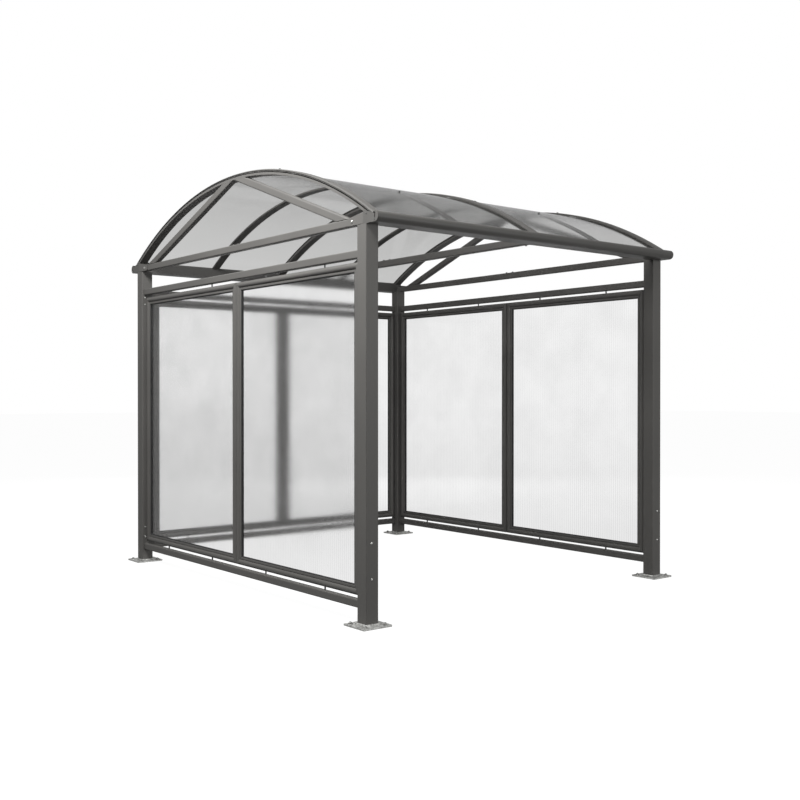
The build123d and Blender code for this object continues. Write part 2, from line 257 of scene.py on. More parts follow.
def fill_coat_texture(sheet: NodeSheet, given: Sockets, result: Sockets) -> None:
    """Orange peel of a sprayed coat: a fine height and a slow change of tone."""
    place = given["Place"]
    peel = sheet.noise(place, given["Peel Scale"])
    grit = sheet.node("ShaderNodeTexVoronoi", Vector=place, Scale=given["Grit Scale"]).outputs["Distance"]
    slow = sheet.noise(place, given["Tone Scale"], 3.0)
    sheet.put(result["Height"], sheet.math("MULTIPLY_ADD", grit, 0.25, peel))
    sheet.put(result["Tone"], sheet.spread(slow, 0.3, 0.7, 0.0, 1.0))


def fill_rounded_edges(sheet: NodeSheet, given: Sockets, result: Sockets) -> None:
    """Soft corners: a normal that rounds each edge and a broken mask that is 1 along it."""
    bevel = sheet.node("ShaderNodeBevel", {"samples": 4}, Radius=given["Radius"]).outputs["Normal"]
    plain = sheet.node("ShaderNodeNewGeometry").outputs["Normal"]
    match = sheet.numbered("ShaderNodeVectorMath", "DOT_PRODUCT", bevel, plain).outputs["Value"]
    edge = sheet.spread(match, 0.995, 0.90, 0.0, 1.0)
    broken = sheet.spread(sheet.noise(given["Place"], 55.0, 3.0), 0.35, 0.6, 0.35, 1.0)
    sheet.put(result["Normal"], bevel)
    sheet.put(result["Edge"], sheet.math("MULTIPLY", edge, broken))


def fill_settled_dust(sheet: NodeSheet, given: Sockets, result: Sockets) -> None:
    """Fine patchy dust that lies on surfaces that face up."""
    up = sheet.axes(sheet.node("ShaderNodeNewGeometry").outputs["Normal"])[2]
    lying = sheet.spread(up, 0.35, 1.0, 0.0, 1.0)
    patchy = sheet.spread(sheet.noise(given["Place"], 9.0, 5.0), 0.35, 0.75, 0.3, 1.0)
    amount = sheet.math("MULTIPLY", lying, patchy)
    sheet.put(result["Dust"], sheet.math("MULTIPLY", amount, given["Amount"]))


def fill_mitred_corner(sheet: NodeSheet, given: Sockets, result: Sockets) -> None:
    """The hairline at a frame's corner, where the nearest two outer edges are equally far away."""
    inward = []
    for along, low, high in (("Along", "Start", "End"), ("Up", "Bottom", "Top")):
        first = sheet.math("SUBTRACT", given[along], given[low])
        last = sheet.math("SUBTRACT", given[high], given[along])
        inward.append(sheet.math("MINIMUM", first, last))
    apart = sheet.math("ABSOLUTE", sheet.math("SUBTRACT", *inward))
    line = sheet.math("LESS_THAN", apart, given["Width"])
    near = sheet.math("LESS_THAN", inward[0], given["Reach"])
    sheet.put(result["Line"], sheet.math("MULTIPLY", line, near))


def fill_sheet_haze(sheet: NodeSheet, given: Sockets, result: Sockets) -> None:
    """Faint clouding and fine pitting of a clear plastic sheet."""
    place = given["Place"]
    sheet.put(result["Cloud"], sheet.spread(sheet.noise(place, 3.5, 4.0), 0.35, 0.7, 0.0, 1.0))
    sheet.put(result["Height"], sheet.noise(place, given["Pit Scale"]))


COAT_TEXTURE = Effect(
    "Coat Texture",
    {"Place": 0.0, "Peel Scale": 420.0, "Grit Scale": 1400.0, "Tone Scale": 2.2},
    {"Height": VALUE, "Tone": VALUE},
    fill_coat_texture,
)
ROUNDED_EDGES = Effect(
    "Rounded Edges", {"Place": 0.0, "Radius": 0.0015}, {"Normal": VECTOR, "Edge": VALUE}, fill_rounded_edges
)
SETTLED_DUST = Effect("Settled Dust", {"Place": 0.0, "Amount": 0.2}, {"Dust": VALUE}, fill_settled_dust)
MITRED_CORNER = Effect(
    "Mitred Corner",
    {"Along": 0.0, "Up": 0.0, "Start": 0.0, "End": 1.0, "Bottom": 0.0, "Top": 1.0, "Width": 0.0006, "Reach": 0.06},
    {"Line": VALUE},
    fill_mitred_corner,
)
SHEET_HAZE = Effect(
    "Sheet Haze", {"Place": 0.0, "Pit Scale": 260.0}, {"Cloud": VALUE, "Height": VALUE}, fill_sheet_haze
)


# ------------ finishes


def scaled(colour: Colour, factor: float, lift: float = 0.0) -> Colour:
    """Returns a colour times a factor plus a lift, no channel over 1."""
    return tuple(min(1.0, factor * part + lift) for part in colour)


@dataclass(frozen=True)
class Finish:
    """One material of the shelter or the studio.

    Args:
        name: The material's name.
    """

    name: str

    def build(self, effects: EffectLibrary) -> bpy.types.Material:
        """Builds the material.

        Args:
            effects: The shared node groups.

        Returns:
            The material.
        """
        material = bpy.data.materials.new(self.name)
        material.use_nodes = True
        material.node_tree.nodes.clear()
        sheet = MaterialSheet(material.node_tree, effects)
        sheet.node("ShaderNodeOutputMaterial", Surface=self.paint(sheet))
        return material

    def paint(self, sheet: MaterialSheet) -> Socket:
        """Fills in the finish's own nodes and returns what the surface takes."""
        raise NotImplementedError


@dataclass(frozen=True)
class PowderCoat(Finish):
    """Satin powder coat on steel and aluminium.

    Args:
        colour: Colour of the coat.
        edge_colour: Colour where the coat thins over an edge.
        dust_colour: Colour of the dust on top.
        line_colour: Colour of a mitre line.
        roughness: Gloss of the coat.
        peel_depth: Height of the orange peel.
        edge_radius: Radius that the edges are rounded to.
        edge_wear: Share of the edge colour along an edge.
        dust: Amount of dust.
        specular: How strongly the coat mirrors.
        mitres: A mitred frame's direction and its lowest and highest corners.
    """

    colour: Colour = (0.098, 0.095, 0.090)
    edge_colour: Colour = (0.135, 0.130, 0.124)
    dust_colour: Colour = (0.20, 0.19, 0.175)
    line_colour: Colour = (0.02, 0.02, 0.02)
    roughness: float = 0.50
    peel_depth: float = 0.00007
    edge_radius: float = 0.0016
    edge_wear: float = 0.55
    dust: float = 0.10
    specular: float = 0.22
    mitres: Optional[tuple[Run, Point, Point]] = None

    def paint(self, sheet: MaterialSheet) -> Socket:
        """Mixes tone, worn edges, dust and mitre lines over the peel."""
        coat = sheet.use(COAT_TEXTURE)
        edges = sheet.use(ROUNDED_EDGES, Radius=self.edge_radius)
        dust = sheet.use(SETTLED_DUST, Amount=self.dust)["Dust"]
        tone = sheet.blend(coat["Tone"], scaled(self.colour, 0.93), scaled(self.colour, 1.06))
        worn = sheet.blend(sheet.math("MULTIPLY", edges["Edge"], self.edge_wear), tone, self.edge_colour)
        colour = sheet.blend(dust, worn, self.dust_colour)
        if self.mitres:
            line = sheet.math("MULTIPLY", self.mitre_line(sheet), 0.7)
            colour = sheet.blend(line, colour, self.line_colour)
        rough = sheet.spread(coat["Tone"], 0.0, 1.0, self.roughness - 0.05, self.roughness + 0.05)
        sheet.feed(
            sheet.shader,
            Base_Color=colour,
            Roughness=sheet.math("ADD", rough, sheet.math("MULTIPLY", dust, 0.6)),
            Normal=sheet.bump(0.55, self.peel_depth, coat["Height"], edges["Normal"]),
            Specular_IOR_Level=self.specular,
        )
        return sheet.shader.outputs[0]

    def mitre_line(self, sheet: MaterialSheet) -> Socket:
        """Returns the mask of the frame's four mitre lines."""
        axes = sheet.axes(sheet.place)
        run, low, high = self.mitres
        along = run.value
        edges = {"Start": low[along], "End": high[along], "Bottom": low[2], "Top": high[2]}
        return sheet.use(MITRED_CORNER, Along=axes[along], Up=axes[2], **edges)["Line"]


@dataclass(frozen=True)
class HotDipZinc(Finish):
    """Galvanised steel with its spangle and a dull, mottled skin.

    Args:
        dark: Colour of the darkest spangles.
        light: Colour of the lightest spangles.
        edge_colour: Colour along a worn edge.
        spangle_scale: Spangles in a metre.
        spangle_bend: How far the spangles' outlines are bent.
        edge_radius: Radius that the edges are rounded to.
    """

    dark: Colour = (0.30, 0.30, 0.29)
    light: Colour = (0.62, 0.62, 0.60)
    edge_colour: Colour = (0.70, 0.70, 0.68)
    spangle_scale: float = 85.0
    spangle_bend: float = 0.006
    edge_radius: float = 0.0012

    def paint(self, sheet: MaterialSheet) -> Socket:
        """Gives each spangle its tone and mottles the skin."""
        shift = sheet.node("ShaderNodeTexNoise", Vector=sheet.place, Scale=60.0, Detail=2.0).outputs["Color"]
        bend = (self.spangle_bend,) * 3
        bent = sheet.numbered("ShaderNodeVectorMath", "MULTIPLY_ADD", shift, bend, sheet.place).outputs[0]
        cells = sheet.node("ShaderNodeTexVoronoi", Vector=bent, Scale=self.spangle_scale).outputs["Color"]
        spangle = sheet.axes(cells)[0]
        mottle = sheet.math("MULTIPLY", sheet.noise(sheet.place, 28.0, 4.0), 0.5)
        mixed = sheet.math("ADD", sheet.math("MULTIPLY", spangle, 0.6), mottle)
        edges = sheet.use(ROUNDED_EDGES, Radius=self.edge_radius)
        colour = sheet.blend(sheet.spread(mixed, 0.2, 0.9, 0.0, 1.0), self.dark, self.light)
        sheet.feed(
            sheet.shader,
            Base_Color=sheet.blend(sheet.math("MULTIPLY", edges["Edge"], 0.5), colour, self.edge_colour),
            Roughness=sheet.spread(spangle, 0.0, 1.0, 0.38, 0.62),
            Normal=sheet.bump(0.4, 0.0002, mixed, edges["Normal"]),
            Metallic=0.75,
        )
        return sheet.shader.outputs[0]


@dataclass(frozen=True)
class PlatedFixing(Finish):
    """Plated screws, nuts and washers: turned metal with light handling marks.

    Args:
        colour: Colour of the plating.
        roughness: Gloss of the plating.
        metallic: Share of bare metal.
        edge_radius: Radius that the edges are rounded to.
    """

    colour: Colour = (0.10, 0.10, 0.10)
    roughness: float = 0.36
    metallic: float = 0.8
    edge_radius: float = 0.0006

    def paint(self, sheet: MaterialSheet) -> Socket:
        """Mixes the plating's tone and its bright edges."""
        edges = sheet.use(ROUNDED_EDGES, Radius=self.edge_radius)
        marks = {"Peel_Scale": 900.0, "Grit_Scale": 2600.0, "Tone_Scale": 90.0}
        coat = sheet.use(COAT_TEXTURE, **marks)
        tone = sheet.blend(coat["Tone"], scaled(self.colour, 0.75), scaled(self.colour, 1.3))
        wear = sheet.math("MULTIPLY", edges["Edge"], 0.6)
        sheet.feed(
            sheet.shader,
            Base_Color=sheet.blend(wear, tone, scaled(self.colour, 2.0, lift=0.05)),
            Roughness=sheet.spread(coat["Tone"], 0.0, 1.0, self.roughness - 0.08, self.roughness + 0.1),
            Normal=sheet.bump(0.3, 0.00005, coat["Height"], edges["Normal"]),
            Metallic=self.metallic,
        )
        return sheet.shader.outputs[0]


@dataclass(frozen=True)
class RubberSeal(Finish):
    """Black rubber of the glazing gaskets.

    Args:
        colour: Colour of the rubber.
        dust_colour: Colour of the dust on it.
        dust: Amount of dust.
    """

    colour: Colour = (0.011, 0.011, 0.011)
    dust_colour: Colour = (0.12, 0.115, 0.11)
    dust: float = 0.15

    def paint(self, sheet: MaterialSheet) -> Socket:
        """Mixes the rubber's bloom and dust over a fine grain."""
        dust = sheet.use(SETTLED_DUST, Amount=self.dust)["Dust"]
        bloom = sheet.noise(sheet.place, 14.0, 4.0)
        tone = sheet.blend(sheet.spread(bloom, 0.4, 0.75, 0.0, 1.0), self.colour, scaled(self.colour, 1.9))
        sheet.feed(
            sheet.shader,
            Base_Color=sheet.blend(dust, tone, self.dust_colour),
            Roughness=sheet.spread(bloom, 0.3, 0.7, 0.62, 0.8),
            Normal=sheet.bump(0.5, 0.0001, sheet.noise(sheet.place, 700.0, 3.0)),
            Specular_IOR_Level=0.3,
        )
        return sheet.shader.outputs[0]


@dataclass(frozen=True)
class ClearSheet(Finish):
    """Extruded polycarbonate sheet, clear or smoky, that softens what is behind it.

    Args:
        tint: Colour of the sheet seen straight on.
        grazing_shade_colour: Colour painted where the sheet is seen along its face: painted shade that stands in
            for the dark reflection there.
        web_tint: Colour over the webs inside the sheet.
        roughness: How much one face softens what is behind it.
        web_pitch: Distance between the webs inside the sheet.
        web_width: Width of a web.
        streaks: Height of the drawn streaks that run along the webs.
        index: Refractive index, lower where the sheet mirrors less.
        foot_shade: Share of the tint that is left at the foot of a wall, where the sheet takes painted shade.
        across: The axis that the webs follow each other in.
        shade_light: Share of the light that goes on to what is behind.
        foot: Heights between which a wall's foot, with its painted shade, fades out.
        web_shares: How clearly the webs show above the foot and at it.
    """

    tint: Colour = (0.90, 0.90, 0.90)
    # painted shade where the sheet is seen along its face
    grazing_shade_colour: Colour = (0.53, 0.53, 0.53)
    web_tint: Colour = (0.64, 0.64, 0.64)
    roughness: float = 0.085
    web_pitch: float = WEB_PITCH
    web_width: float = 0.0030
    streaks: float = 0.00006
    index: float = 1.22
    foot_shade: float = 0.80
    across: Run = Run.ALONG_X
    shade_light: float = 0.9
    foot: tuple[float, float] = (0.15, 1.05)
    web_shares: tuple[float, float] = (0.25, 0.8)

    def paint(self, sheet: MaterialSheet) -> Socket:
        """Colours the sheet with painted shade where it is seen along its face and towards a wall's foot, adds its
        webs and haze, and lets light through.
        """
        axes = sheet.axes(sheet.place)
        across = axes[self.across.value]
        haze = sheet.use(SHEET_HAZE)
        web = self.webs(sheet, across)
        # painted shade: the colour goes from the tint seen straight on to the darker grazing colour where the
        # sheet is seen along its face
        facing = sheet.node("ShaderNodeLayerWeight", Blend=0.35).outputs["Facing"]
        plain = sheet.blend(sheet.spread(facing, 0.15, 0.85, 0.0, 1.0), self.tint, self.grazing_shade_colour)
        cloudy = sheet.blend(sheet.math("MULTIPLY", haze["Cloud"], 0.25), plain, self.web_tint)
        # painted shade: the sheet darkens towards the foot of a wall
        foot = sheet.spread(axes[2], *self.foot, 1.0, 0.0)
        clearness = sheet.spread(foot, 0.0, 1.0, *self.web_shares)
        webbed = sheet.blend(sheet.math("MULTIPLY", web, clearness), cloudy, self.web_tint)
        foot_shade_colour = scaled(self.tint, self.foot_shade)
        drawn = sheet.noise(sheet.node("ShaderNodeCombineXYZ", X=across).outputs[0], 190.0, 3.0)
        pits = sheet.bump(0.25, 0.0001, haze["Height"])
        sheet.feed(
            sheet.shader,
            Base_Color=sheet.blend(sheet.math("MULTIPLY", foot, 0.5), webbed, foot_shade_colour),
            Roughness=sheet.math("ADD", sheet.math("MULTIPLY", haze["Cloud"], 0.02), self.roughness),
            Normal=sheet.bump(1.0, self.streaks, drawn, pits),
            Transmission_Weight=1.0,
            IOR=self.index,
        )
        rays = sheet.node("ShaderNodeLightPath").outputs
        passing = sheet.math("MAXIMUM", rays["Is Shadow Ray"], rays["Is Diffuse Ray"])
        open_way = sheet.node("ShaderNodeBsdfTransparent", Color=(self.shade_light,) * 3)
        mixed = (passing, sheet.shader.outputs[0], open_way.outputs[0])
        return sheet.numbered("ShaderNodeMixShader", None, *mixed).outputs[0]

    def webs(self, sheet: NodeSheet, across: Socket) -> Socket:
        """Returns the mask of the webs inside the sheet."""
        far_off = 1000.0 * WEB_PITCH  # keeps the place positive
        bays = sheet.math("DIVIDE", sheet.math("ADD", across, far_off), self.web_pitch)
        off_middle = sheet.math("ABSOLUTE", sheet.math("SUBTRACT", sheet.math("FRACT", bays), 0.5))
        distance = sheet.math("MULTIPLY", off_middle, self.web_pitch)
        return sheet.spread(distance, self.web_width * 0.5, self.web_width * 1.1, 1.0, 0.0)


@dataclass(frozen=True)
class FloorPaint(Finish):
    """Pale matt floor that looks white and still takes the shelter's shadow.

    Args:
        mirror_level: Its brightness in reflections.
        glow: Its brightness where nothing shades it.
    """

    mirror_level: float
    glow: float = 0.965

    def paint(self, sheet: MaterialSheet) -> Socket:
        """Adds the glow that only looks bright to the matt floor that takes the light."""
        mottle = sheet.noise(sheet.place, 40.0, 3.0)
        pale = sheet.blend(mottle, (0.12, 0.12, 0.12), (0.13, 0.13, 0.13))
        sheet.feed(sheet.shader, Base_Color=pale, Roughness=0.9, Specular_IOR_Level=0.0)
        strength = sheet.math("MULTIPLY", sheet.white_share(self.mirror_level), self.glow)
        glow = sheet.node("ShaderNodeEmission", Color=WHITE, Strength=strength)
        return sheet.numbered("ShaderNodeAddShader", None, sheet.shader.outputs[0], glow.outputs[0]).outputs[0]


@dataclass
class Paintbox:
    """All the finishes, each built when it is first used.

    Args:
        effects: The shared node groups.
        made: Materials by name.
    """

    effects: EffectLibrary = field(default_factory=EffectLibrary)
    made: dict[str, bpy.types.Material] = field(default_factory=dict)

    def get(self, finish: Finish) -> bpy.types.Material:
        """Returns the material of a finish."""
        if finish.name not in self.made:
            self.made[finish.name] = finish.build(self.effects)
        return self.made[finish.name]

    def dress(self, node: str, finish: Finish) -> None:
        """Puts a finish on a CAD node, which keeps its shape."""
        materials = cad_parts[node].data.materials
        materials.clear()
        materials.append(self.get(finish))
        LOG.info("node %s: %s", node, finish.name)


FRAME_COAT = PowderCoat("frame_powder_coat")
# painted shade: a darker copy of the frame coat for the eave beams, end caps and cover strips, which stands in for
# the darker look that light gives them
ROOF_SHADED_COAT = PowderCoat(
    "roof_profile_shaded_coat",
    colour=(0.080, 0.078, 0.074),
    edge_colour=(0.120, 0.116, 0.110),
    roughness=0.42,
    edge_radius=0.0010,
)
ZINC = HotDipZinc("hot_dip_zinc")
ANCHOR_ZINC = PlatedFixing("anchor_zinc", colour=(0.30, 0.30, 0.29), roughness=0.45, metallic=0.6)
DARK_FIXING = PlatedFixing("dark_fixing")
BRIGHT_FIXING = PlatedFixing("bright_zinc_fixing", colour=(0.52, 0.52, 0.50), roughness=0.30, metallic=0.9)
SEAL = RubberSeal("glazing_seal")
SMOKY_SHEET = ClearSheet(
    "smoky_roof_sheet",
    tint=(0.66, 0.66, 0.655),
    # painted shade: the smoky sheet darkens where it is seen along its face
    grazing_shade_colour=(0.31, 0.31, 0.306),
    web_tint=(0.58, 0.58, 0.575),
    roughness=0.05,
    web_pitch=0.016,
    web_width=0.0018,
    streaks=0.00001,
    index=1.09,
    foot_shade=1.0,
    shade_light=0.75,
)


def wall_sheet(run: Run) -> ClearSheet:
    """Returns the finish of a wall's clear sheets, with the webs across that wall."""
    return ClearSheet(f"clear_wall_sheet_{run.name.lower()}", across=run)


# ------------ mesh helpers


def link_object(name: str, data: bpy.types.ID) -> bpy.types.Object:
    """Makes an object in the scene from a mesh, a lamp or a camera, and returns it."""
    made = bpy.data.objects.new(name, data)
    bpy.context.scene.collection.objects.link(made)
    return made


@dataclass
class MeshMaker:
    """Collects faces for one piece and turns them into an object.

    Args:
        name: The piece's name.
        mesh: The faces so far.
    """

    name: str
    mesh: bmesh.types.BMesh = field(default_factory=bmesh.new)

    def points(self, places: Iterable[Point]) -> list[bmesh.types.BMVert]:
        """Adds points and returns them."""
        return [self.mesh.verts.new(place) for place in places]

    def band(self, first: Sequence, second: Sequence, ring: bool = True) -> None:
        """Fills the gap between two rows of points, round a ring or along an open row."""
        count = len(first)
        for step in range(count if ring else count - 1):
            after = (step + 1) % count
            self.mesh.faces.new((first[step], first[after], second[after], second[step]))

    def turned(self, place: Matrix, rings: Rings, sides: int) -> None:
        """Adds a closed turned or prismatic solid.

        Args:
            place: Puts the solid's z axis and foot where they belong.
            rings: Radius and height of each ring, from the foot up.
            sides: Number of sides, 6 for a hexagon.
        """
        turns = [2.0 * math.pi * step / sides for step in range(sides)]
        circles = []
        for radius, height in rings:
            ring = [Vector((radius * math.cos(turn), radius * math.sin(turn), height)) for turn in turns]
            circles.append(self.points(place @ point for point in ring))
        self.mesh.faces.new(list(reversed(circles[0])))
        self.mesh.faces.new(circles[-1])
        for lower, upper in zip(circles, circles[1:]):
            self.band(lower, upper)

    def swept_loop(self, path: Sequence[Vector], section: Sequence[tuple[float, Vector]]) -> None:
        """Adds a mitred ring of a small section.

        Args:
            path: Corners of the ring, in order.
            section: For each point of the section, its distance towards the ring's middle and its shift
                out of the ring's plane.
        """
        loops = [self.points(ring_points(path, inward, outward)) for inward, outward in section]
        for loop, other in zip(loops, loops[1:] + loops[:1]):
            self.band(loop, other)

    def finish(self, material: bpy.types.Material, slot: Slot) -> bpy.types.Object:
        """Makes the object and lets it ride on the shelter.

        Args:
            material: The piece's material.
            slot: The record's slot for it; not used.

        Returns:
            The new object.
        """
        bmesh.ops.recalc_face_normals(self.mesh, faces=self.mesh.faces)
        data = bpy.data.meshes.new(self.name)
        self.mesh.to_mesh(data)
        self.mesh.free()
        piece = link_object(self.name, data)
        data.shade_smooth()
        data.set_sharp_from_angle(angle=math.radians(SOFT_ANGLE))
        data.materials.append(material)
        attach(piece, BODY)
        LOG.info("piece %s: %d faces", self.name, len(data.polygons))
        return piece


def ring_points(corners: Sequence[Vector], inward: float, outward: Vector) -> list[Vector]:
    """Moves the corners of a rectangle inwards by the same distance on each side.

    Args:
        corners: The four corners, in order.
        inward: Distance towards the middle, on each side.
        outward: A shift for all the corners.

    Returns:
        The moved corners.
    """
    middle = sum(corners, Vector()) / len(corners)
    moved = []
    for corner in corners:
        way = Vector(math.copysign(1.0, m - c) if abs(m - c) > 1e-6 else 0.0 for m, c in zip(middle, corner))
        moved.append(corner + inward * way + outward)
    return moved


@dataclass
class ArcLine:
    """The round of the roof, seen along the shelter.

    Args:
        crown: Height of the highest point.
        end_across: Distance of an end from the middle of the plan.
        end_height: Height of that end.
    """

    crown: float
    end_across: float
    end_height: float

    @property
    def radius(self) -> float:
        """Radius of the round, from its crown and one end."""
        rise = self.crown - self.end_height
        return (self.end_across**2 + rise**2) / (2.0 * rise)

    def spot(self, along: float, across: float) -> tuple[Vector, Vector]:
        """Returns where a head's foot stands on the round, and its way out."""
        angle = math.asin(across / self.radius)
        reach = self.radius - BOLT_SINK
        foot = Vector((along, reach * math.sin(angle), self.crown - self.radius + reach * math.cos(angle)))
        return foot, Vector((0.0, math.sin(angle), math.cos(angle)))


# ------------ fixings


@dataclass(frozen=True, kw_only=True)
class Fixing:
    """Turned parts that stand on one axis.

    Args:
        spin: Turn about the axis.
    """

    spin: float = 0.0

    def parts(self) -> list[tuple[int, Rings]]:
        """Returns the number of sides and the rings of each part."""
        raise NotImplementedError

    def add(self, maker: MeshMaker, point: Point, way: Point) -> None:
        """Adds the fixing to a piece.

        Args:
            maker: The piece that it belongs to.
            point: Its foot on the surface.
            way: The way out of the surface.
        """
        turn = Vector(way).normalized().to_track_quat("Z", "Y").to_matrix().to_4x4()
        place = Matrix.Translation(Vector(point)) @ turn @ Matrix.Rotation(self.spin, 4, "Z")
        for sides, rings in self.parts():
            maker.turned(place, rings, sides)


@dataclass(frozen=True, kw_only=True)
class HexBolt(Fixing):
    """A chamfered hexagon head on a round washer.

    Args:
        across_flats: Size of the hexagon.
        head: Height of the head.
        washer: Radius of the washer.
        thick: Thickness of the washer.
    """

    across_flats: float
    head: float
    washer: float
    thick: float = 0.0014
    spin: float = 0.3

    def parts(self) -> list[tuple[int, Rings]]:
        """Returns the washer and the head."""
        washer, thick = self.washer, self.thick
        corner = self.across_flats / math.sqrt(3.0)
        top = thick + self.head
        bevel = top - 0.12 * self.head
        return [
            (24, ((washer, 0.0), (washer, thick * 0.7), (washer - 0.0003, thick))),
            (6, ((corner, thick), (corner, bevel), (corner * 0.9, top), (corner * 0.62, top + 0.0001))),
        ]


@dataclass(frozen=True, kw_only=True)
class PanScrew(Fixing):
    """A low domed screw head with a hollow for the driver.

    Args:
        radius: Radius of the head.
        height: Height of the head.
        outline: The head's rings from its foot, as shares of its radius and height.
    """

    radius: float
    height: float
    outline: Rings = ((1.0, 0.0), (1.0, 0.35), (0.93, 0.62), (0.78, 0.85), (0.55, 1.0), (0.40, 1.0), (0.36, 0.45))

    def parts(self) -> list[tuple[int, Rings]]:
        """Returns the head."""
        return [(20, [(out * self.radius, up * self.height) for out, up in self.outline])]


@dataclass(frozen=True, kw_only=True)
class AnchorSet(Fixing):
    """Washer, nut and threaded stud that hold a base plate down.

    Args:
        stud: Radius of the threaded stud.
        across_flats: Size of the nut.
        nut: Height of the nut.
        washer: Radius of the washer.
        thick: Thickness of the washer.
        stud_out: How far the stud stands out of the nut.
        thread: Distance between the threads.
    """

    stud: float = 0.006
    across_flats: float = 0.018
    nut: float = 0.0064
    washer: float = 0.0145
    thick: float = 0.0025
    stud_out: float = 0.004
    thread: float = 0.00175

    def parts(self) -> list[tuple[int, Rings]]:
        """Returns the washer, the nut and the stud."""
        thick, rim, stud = self.thick, self.washer, self.stud
        corner = self.across_flats / math.sqrt(3.0)
        top = thick + self.nut
        turns = [(stud, top - 0.001)]
        height = top
        while height < top + self.stud_out - self.thread:
            turns += [(stud, height + 0.25 * self.thread), (stud * 0.87, height + 0.75 * self.thread)]
            height += self.thread
        turns.append((stud * 0.82, top + self.stud_out))
        return [
            (32, ((rim - 0.0004, 0.0), (rim, 0.0004), (rim, thick - 0.0005), (rim - 0.0006, thick))),
            (6, ((corner * 0.93, thick), (corner, thick + 0.0009), (corner, top - 0.0009), (corner * 0.92, top))),
            (20, turns),
        ]


COVER_BOLT = HexBolt(across_flats=0.011, head=0.0060, washer=0.0080, thick=0.0015)
RIB_SCREW = HexBolt(across_flats=0.011, head=0.0060, washer=0.0085, thick=0.0015)
PLATE_BOLT = HexBolt(across_flats=0.013, head=0.0050, washer=0.0095)
TIE_BOLT = HexBolt(across_flats=0.013, head=0.0052, washer=0.0085)
POST_SCREW = PanScrew(radius=0.0062, height=0.0034)
CAP_SCREW = PanScrew(radius=0.0050, height=0.0026)


# ------------ sub-assemblies


@dataclass
class Assembly:
    """A group of pieces that share the finishes.

    Args:
        paints: The finishes.
    """

    paints: Paintbox

    def heads(self, name: str, head: Fixing, finish: Finish, spots: Iterable[tuple[Point, Point]]) -> None:
        """Makes one piece of like heads.

        Args:
            name: The piece's name.
            head: The bolt or screw.
            finish: Its finish.
            spots: Foot and way out of the surface, for each head.
        """
        maker = MeshMaker(name)
        for point, way in spots:
            head.add(maker, point, way)
        maker.finish(self.paints.get(finish), Slot.FIXINGS)


@dataclass
class CoatedFrame(Assembly):
    """The steel and aluminium members, which keep their CAD shape and get their coat."""

    def build(self) -> None:
        """Gives each member its coat."""
        steel = [f"{corner}_post" for corner in CORNERS]
        steel += [f"{row}_{part}" for part in ("tie_beam", "arch") for row in ROWS]
        steel += [f"{side}_{part}" for side, _ in SIDES for part in ("roof_rib", "gable_braces", "joint_plates")]
        steel += [f"{wall}_wall_rails" for wall in ("left", "right", "back")]
        # the roof profiles take the darker copy of the coat, which is painted shade
        roof = [f"{end}_eave_{part}" for part in ("beam", "end_caps") for end, _ in ENDS]
        roof += [f"{row}_cover_strip" for row in ROWS]
        plates = [f"{corner}_base_plate" for corner in CORNERS]
        for nodes, finish in ((steel, FRAME_COAT), (roof, ROOF_SHADED_COAT), (plates, ZINC)):
            for node in nodes:
                self.paints.dress(node, finish)


@dataclass
class BaseAnchors(Assembly):
    """Nuts, washers and studs on the four base plates.

    Args:
        spacing: Distance between the anchor holes of a plate.
        plate_top: Height of the plate.
        turns: Turn of the first nut, then from nut to nut and from plate to plate.
    """

    spacing: float = 0.140
    plate_top: float = 0.010
    turns: tuple[float, float, float] = (0.4, 0.55, 0.9)

    def build(self) -> None:
        """Makes one piece of four sets for each plate, no two nuts turned alike."""
        first, next_nut, next_plate = self.turns
        for index, corner in enumerate(CORNERS):
            low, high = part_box(f"{corner}_base_plate")
            middle = (low + high) / 2.0
            maker = MeshMaker(f"{corner}_anchor_nuts")
            for number, (step_x, step_y) in enumerate(((-1, -1), (1, -1), (1, 1), (-1, 1))):
                x = middle.x + step_x * self.spacing / 2.0
                y = middle.y + step_y * self.spacing / 2.0
                kit = AnchorSet(spin=first + next_nut * number + next_plate * index)
                kit.add(maker, (x, y, self.plate_top), (0.0, 0.0, 1.0))
            maker.finish(self.paints.get(ANCHOR_ZINC), Slot.FIXINGS)


